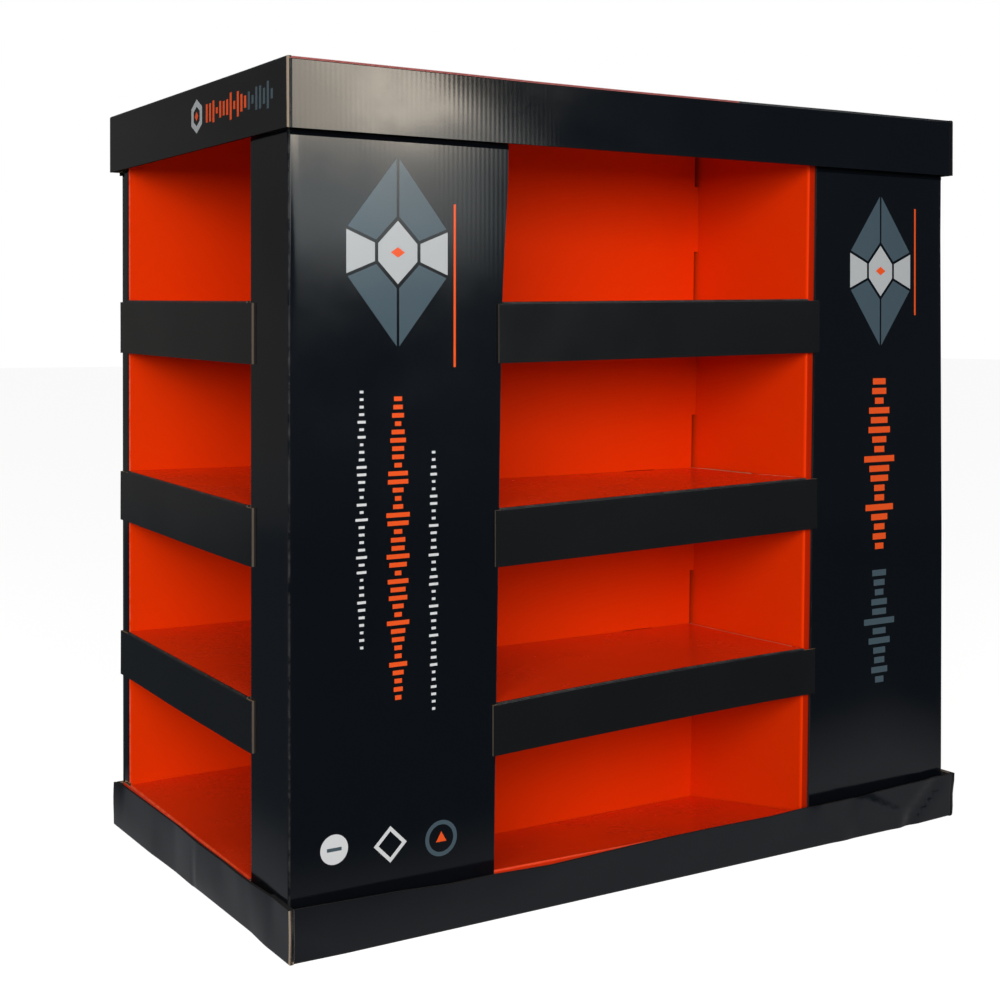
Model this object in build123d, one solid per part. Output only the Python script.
from build123d import *

import os

# Free-standing four-way shelf stand folded from corrugated board, half-pallet size.
# Origin: centre of the footprint on the floor. X runs along the long front, Y from the
# front to the rear, Z up. All sizes are millimetres.

# Overall sizes
stand_length = 1016.0
stand_depth = 610.0
stand_height = 992.0

# The board and its folds
board = 3.5
fold_radius = 4.0

# Base tray and cap, both folded trays with glue flaps inside their end walls
tray_wall = 60.0
cap_skirt = 78.0
glue_flap = 60.0
slide_gap = 0.5
body_gap_front = 13.0

# Inner walls
bay_width = 500.0
bay_depth = 246.5
divider_flap = 40.0
lean = 16.0
wall_gap = 0.3

# Corner columns and posts: how far their long panels reach in from the stand's ends
column_panel = 269.0
column_return = 110.0
post_panel = 239.0
post_return = 30.0

# Shelves of the front and rear bays, then those of the two end bays
long_shelf_tops = (731.0, 491.0, 262.0)
end_shelf_tops = (731.0, 498.0, 276.0)
fascia_heights = (73.0, 70.0, 63.0)
shelf_names = ("top", "middle", "low")
shelf_gap = 1.0
shelf_flange = 40.0
long_ears = (6.0, 5.0)
end_ears = (27.0, 11.0)

# Tabs that lock the shelves into the wall behind them
shelf_tab = 50.0
long_tab_spread = 150.0
tab_reach = 3.0
slot_gap = 0.5

# Tabs and notches along both upright edges of the long bays' rear walls
notch_depth = 7.0
notch_height = 78.0
wall_tab = 74.0
wall_tab_space = 6.0
top_notch_space = 16.0

# Bottom floors: sloping back in the long bays, level in the end bays
slope_front = 50.0
end_floor_top = 68.0

# Values that follow from those above
body_gap_end = board + slide_gap
body_length = stand_length - 2 * (board + body_gap_end)
body_depth = stand_depth - 2 * (board + body_gap_front)
body_bottom = board
body_top = stand_height - board
body_height = body_top - body_bottom
half_length = body_length / 2
half_depth = body_depth / 2
divider_outer = bay_width / 2 + board
end_back = divider_outer + wall_gap
end_back_face = end_back + board
end_bay_near = half_depth - column_return
end_bay_far = half_depth - post_return
column_edge = half_length - column_panel
post_edge = half_length - post_panel
cut_margin = 2.0


def lean_at(z):
    """Sideways shift of the leaning inner walls at height z: none at half height."""
    return lean * ((z - body_bottom) / body_height - 0.5)


def block(low, high):
    """A box between two corners."""
    size = [b - a for a, b in zip(low, high)]
    return Pos(*low) * Box(*size, align=(Align.MIN, Align.MIN, Align.MIN))


def leaning_block(low, high):
    """A box between two corners, sheared in X so that it leans as the inner walls do."""
    corners = [(low[0], low[1]), (high[0], low[1]), (high[0], high[1]), (low[0], high[1])]
    shift = lean_at(low[2])
    outline = Polyline(*[(x + shift, y, low[2]) for x, y in corners], close=True)
    rise = Vector(lean_at(high[2]) - shift, 0, high[2] - low[2])
    return Part() + Solid.extrude(make_face(outline).face(), rise)


def inner_line(points):
    """The line of a sheet's inner face: its printed line moved one board's thickness to the left."""
    runs = [(Vector(*end) - Vector(*start)).normalized() for start, end in zip(points, points[1:])]
    sides = [Vector(-run.Y, run.X) for run in runs]
    inner = []
    for point, before, after in zip(points, [sides[0], *sides], [*sides, sides[-1]]):
        inner.append(Vector(*point) + (before + after) * (board / (1 + before.dot(after))))
    return inner


def sheet(place, plane, points, rise):
    """Board folded along its printed face, the board on the left of the line, drawn out."""
    printed = FilletPolyline(*points, radius=fold_radius)
    inside = FilletPolyline(*inner_line(points), radius=fold_radius - board)
    ends = [Line(printed @ end, inside @ end) for end in (0, 1)]
    section = make_face([printed, inside, *ends]).face()
    return Part() + Solid.extrude(place * (plane * section), Vector(*rise))


def folded_tray(length, depth, height):
    """Open tray. Its long walls end in glue flaps, tucked inside the overlapping end walls."""
    end_x = length / 2
    wall_x = end_x - board
    wall_y = depth / 2
    foot = 3 * fold_radius
    across = [(-wall_y, height), (-wall_y, 0), (wall_y, 0), (wall_y, height)]
    tray = sheet(Pos(-wall_x, 0, 0), Plane.YZ, across, (2 * wall_x, 0, 0))
    tray -= block((-end_x, -wall_y, fold_radius), (end_x, board - wall_y, height))
    tray -= block((-end_x, wall_y - board, fold_radius), (end_x, wall_y, height))
    left_end = [(-end_x, height), (-end_x, 0), (foot - end_x, 0)]
    right_end = [(end_x - foot, 0), (end_x, 0), (end_x, height)]
    between_ends = block((-wall_x, -depth, -cut_margin), (wall_x, depth, height + cut_margin))
    for outline in (left_end, right_end):
        tray += sheet(Pos(0, wall_y, 0), Plane.XZ, outline, (0, -depth, 0)) - between_ends
    flap_y = wall_y - glue_flap
    front_wall = [(-wall_x, -flap_y), (-wall_x, -wall_y), (wall_x, -wall_y), (wall_x, -flap_y)]
    rear_wall = [(wall_x, flap_y), (wall_x, wall_y), (-wall_x, wall_y), (-wall_x, flap_y)]
    for outline in (front_wall, rear_wall):
        tray += sheet(Pos(0, 0, fold_radius), Plane.XY, outline, (0, 0, height - fold_radius))
    return tray


def corner_sheet(side_x, side_y, open_edge, inner_y):
    """One folded sheet at a corner: long panel, return, and the end bay's side wall."""
    wall_end = end_back_face + wall_gap
    points = [
        (side_x * (open_edge - lean), side_y * half_depth),
        (side_x * half_length, side_y * half_depth),
        (side_x * half_length, side_y * inner_y),
        (side_x * (wall_end - lean), side_y * inner_y),
    ]
    if side_x * side_y > 0:
        points.reverse()
    corner = sheet(Pos(0, 0, body_bottom), Plane.XY, points, (0, 0, body_height))
    panel_x = sorted([side_x * open_edge, side_x * (open_edge - 2 * lean)])
    panel_y = sorted([side_y * (half_depth - board - cut_margin), side_y * (half_depth + cut_margin)])
    wall_x = sorted([side_x * wall_end, side_x * (wall_end - 2 * lean)])
    wall_y = sorted([side_y * (inner_y - cut_margin), side_y * (inner_y + board + cut_margin)])
    top = body_top + cut_margin
    corner -= leaning_block((panel_x[0], panel_y[0], 0), (panel_x[1], panel_y[1], top))
    corner -= leaning_block((wall_x[0], wall_y[0], 0), (wall_x[1], wall_y[1], top))
    return corner


def column(side_x, side_y):
    """Deep corner column."""
    return corner_sheet(side_x, side_y, column_edge, end_bay_near)


def post(side_x, side_y):
    """Shallow corner post, its return cut short where the end bay's floor passes in front."""
    corner = corner_sheet(side_x, side_y, post_edge, end_bay_far)
    cut_x = sorted([side_x * (half_length - board - slide_gap), side_x * (half_length + cut_margin)])
    cut_y = sorted([side_y * (end_bay_far - slide_gap), side_y * (half_depth - board)])
    return corner - block((cut_x[0], cut_y[0], 0), (cut_x[1], cut_y[1], end_floor_top + slide_gap))


def wall_tab_heights():
    """Bottom and top of each tab on the rear walls' upright edges, from the lowest up."""
    starts = [top + notch_height + wall_tab_space for top in (0, *reversed(long_shelf_tops))]
    return [(start, start + wall_tab) for start in starts]


def notch_heights():
    """Bottom and top of each notch on the rear walls' upright edges."""
    over_shelves = [(top, top + notch_height) for top in long_shelf_tops]
    highest_tab_top = wall_tab_heights()[-1][1]
    return [*over_shelves, (highest_tab_top + top_notch_space, body_top + cut_margin)]


def long_rear_wall(side_y):
    """Rear wall of a long bay, tabbed through both dividers and slotted for its shelves."""
    face = half_depth - bay_depth
    low_y, high_y = sorted([side_y * face, side_y * (face - board)])
    edge = bay_width / 2 - wall_gap
    wall = leaning_block((-edge, low_y, body_bottom), (edge, high_y, body_top))
    for side in (-1, 1):
        notch_x = sorted([side * (bay_width / 2 - notch_depth), side * (bay_width / 2 + cut_margin)])
        for low, high in notch_heights():
            wall -= leaning_block((notch_x[0], low_y - cut_margin, low), (notch_x[1], high_y + cut_margin, high))
        tab_x = sorted([side * (edge - board), side * divider_outer])
        for low, high in wall_tab_heights():
            wall += leaning_block((tab_x[0], low_y, low), (tab_x[1], high_y, high))
    half_slot = shelf_tab / 2 + slot_gap
    for top in long_shelf_tops:
        for place in (-long_tab_spread, long_tab_spread):
            middle = place + lean_at(top)
            low_corner = (middle - half_slot, low_y - cut_margin, top - board - slot_gap)
            wall -= block(low_corner, (middle + half_slot, high_y + cut_margin, top + slot_gap))
    return wall


def shelf_slots(low_x, high_x):
    """Cutters for the slots that the tabs of an end bay's shelves and floor pass through."""
    half_slot = shelf_tab / 2 + slot_gap
    return [
        leaning_block((low_x, -half_slot, top - board - slot_gap), (high_x, half_slot, top + slot_gap))
        for top in (*end_shelf_tops, end_floor_top)
    ]


def end_rear_wall(side_x, side_y):
    """Rear wall of an end bay, glued to the divider behind the ends of both side walls."""
    low_x, high_x = sorted([side_x * end_back, side_x * end_back_face])
    low_y, high_y = sorted([side_y * (end_bay_near + board), -side_y * (end_bay_far + board)])
    wall = leaning_block((low_x, low_y, body_bottom), (high_x, high_y, body_top))
    for slot in shelf_slots(low_x - cut_margin, high_x + cut_margin):
        wall -= slot
    return wall


def divider(side_x):
    """Full-depth inner wall with glue flaps behind the long panels, slotted for every tab."""
    face = side_x * bay_width / 2
    flap_tip = side_x * (bay_width / 2 + divider_flap)
    end_y = half_depth - board
    points = [(flap_tip, -end_y), (face, -end_y), (face, end_y), (flap_tip, end_y)]
    if side_x > 0:
        points.reverse()
    start = Pos(lean_at(body_bottom), 0, body_bottom)
    wall = sheet(start, Plane.XY, points, (lean, 0, body_height))
    low_x, high_x = sorted([side_x * (bay_width / 2 - cut_margin), side_x * (divider_outer + cut_margin)])
    for side_y in (-1, 1):
        face_y = half_depth - bay_depth
        low_y, high_y = sorted([side_y * (face_y + slot_gap), side_y * (face_y - board - slot_gap)])
        for low, high in wall_tab_heights():
            wall -= leaning_block((low_x, low_y, low - slot_gap), (high_x, high_y, high + slot_gap))
    for slot in shelf_slots(low_x, high_x):
        wall -= slot
    return wall


# Shelves and floors are drawn in their bay's own frame: X along the bay's face to the
# viewer's right, Y into the stand from the face of the body, Z up.


def folded_front(left, right, front_y, back_y, top, lip_bottom):
    """Level top between two side edges, with a lip folded down at its front."""
    outline = [(back_y, top), (front_y, top), (front_y, lip_bottom)]
    return sheet(Pos(left, 0, 0), Plane.YZ, outline, (right - left, 0, 0))


def flanged_top(left, right, back_y, top, bottom, slope):
    """Level top behind the face, with glue flanges folded down beside the walls."""
    outline = [(right - slope, bottom), (right, top), (left, top), (left - slope, bottom)]
    front_y = board + shelf_gap
    return sheet(Pos(0, back_y, 0), Plane.XZ, outline, (0, front_y - back_y, 0))


def rear_tab(middle, depth, wall, top):
    """Tab that locks a shelf or floor through a wall of that thickness behind it."""
    low_corner = (middle - shelf_tab / 2, depth - 3 * shelf_gap, top - board)
    return block(low_corner, (middle + shelf_tab / 2, depth + wall + tab_reach, top))


def shelf(top, fascia, opening, inside, ears, depth, slope):
    """One sheet: level top, fascia over the face of the body, flanges at both sides."""
    left = max(opening[0], inside[0]) + shelf_gap
    right = min(opening[1], inside[1]) - shelf_gap
    board_out = folded_front(left, right, -board, depth - shelf_gap, top, top - fascia)
    board_out += flanged_top(
        inside[0] + shelf_gap, inside[1] - shelf_gap, depth - 2 * shelf_gap, top, top - shelf_flange, slope
    )
    ear_left, ear_right = opening[0] - ears[0], opening[1] + ears[1]
    return board_out + block((ear_left, -board, top - fascia), (ear_right, 0, top - fold_radius))


def long_shelf(top, fascia, turn):
    """Shelf of the front bay, or of the rear one, where turn is -1 as the lean is reversed."""
    shift = turn * lean_at(top)
    opening = (shift - column_edge, shift + post_edge)
    inside = (shift - bay_width / 2, shift + bay_width / 2)
    slope = turn * lean / body_height * shelf_flange
    whole = shelf(top, fascia, opening, inside, long_ears, bay_depth, slope)
    for place in (-long_tab_spread, long_tab_spread):
        whole += rear_tab(shift + place, bay_depth, board, top)
    return whole


def end_bay_depth(turn, z):
    """Depth of an end bay at height z. Turn is 1 at the stand's right end, -1 at its left."""
    return half_length - end_back_face - turn * lean_at(z)


def end_tab(depth, top):
    """Tab of an end bay's shelf or floor, through the bay's back and the divider behind it."""
    return rear_tab(0, depth, end_back_face - bay_width / 2, top)


def end_shelf(top, fascia, turn):
    """Shelf of an end bay."""
    opening = (-end_bay_far, end_bay_near)
    depth = end_bay_depth(turn, top)
    return shelf(top, fascia, opening, opening, end_ears, depth, 0) + end_tab(depth, top)


def long_floor(turn):
    """Bottom floor of a long bay, falling to the tray at the back, with a lip at its front."""
    shift = turn * lean_at(body_bottom)
    left = shift - bay_width / 2 + shelf_gap
    right = shift + bay_width / 2 - shelf_gap
    outline = [(bay_depth - shelf_gap, body_bottom + board), (0, slope_front), (0, body_bottom + shelf_gap)]
    floor = sheet(Pos(left, 0, 0), Plane.YZ, outline, (right - left, 0, 0))
    panel_end = max(left, shift - column_edge + shelf_gap)
    behind_panel = (panel_end, board + shelf_gap, slope_front + cut_margin)
    return floor - block((left - cut_margin, -cut_margin, 0), behind_panel)


def end_floor(turn):
    """Level bottom floor of an end bay, its lip drawn on in front of the post's cut return."""
    depth = end_bay_depth(turn, end_floor_top)
    left, right = shelf_gap - end_bay_far, end_bay_near - shelf_gap
    floor = folded_front(left, right, 0, depth - shelf_gap, end_floor_top, body_bottom + slide_gap)
    floor += flanged_top(left, right, depth - 3 * shelf_gap, end_floor_top, body_bottom, 0)
    lip_left = board + slide_gap - half_depth
    floor += block((lip_left, 0, body_bottom + slide_gap), (left, board, end_floor_top - fold_radius))
    return floor + end_tab(depth, end_floor_top)


def all_parts():
    """Every separate sheet of the stand, by name, in the stand's frame."""
    cap = folded_tray(stand_length, stand_depth, cap_skirt)
    parts = {
        "base_tray": folded_tray(stand_length, stand_depth, tray_wall),
        "cap": Pos(0, 0, stand_height) * Rot(180, 0, 0) * cap,
        "column_front_left": column(-1, -1),
        "column_rear_right": column(1, 1),
        "post_front_right": post(1, -1),
        "post_rear_left": post(-1, 1),
        "divider_left": divider(-1),
        "divider_right": divider(1),
        "bay_wall_front": long_rear_wall(-1),
        "bay_wall_rear": long_rear_wall(1),
        "bay_wall_left": end_rear_wall(-1, -1),
        "bay_wall_right": end_rear_wall(1, 1),
    }
    bays = {
        "front": (Pos(0, -half_depth, 0), 1, long_shelf_tops, long_shelf, long_floor),
        "rear": (Rot(0, 0, 180) * Pos(0, -half_depth, 0), -1, long_shelf_tops, long_shelf, long_floor),
        "left": (Rot(0, 0, -90) * Pos(0, -half_length, 0), -1, end_shelf_tops, end_shelf, end_floor),
        "right": (Rot(0, 0, 90) * Pos(0, -half_length, 0), 1, end_shelf_tops, end_shelf, end_floor),
    }
    for bay, (place, turn, tops, make_shelf, make_floor) in bays.items():
        for name, top, fascia in zip(shelf_names, tops, fascia_heights):
            parts[f"shelf_{bay}_{name}"] = place * make_shelf(top, fascia, turn)
        parts[f"floor_{bay}"] = place * make_floor(turn)
    return parts


os.makedirs("parts", exist_ok=True)
for name, part in all_parts().items():
    export_step(part, f"parts/{name}.step")
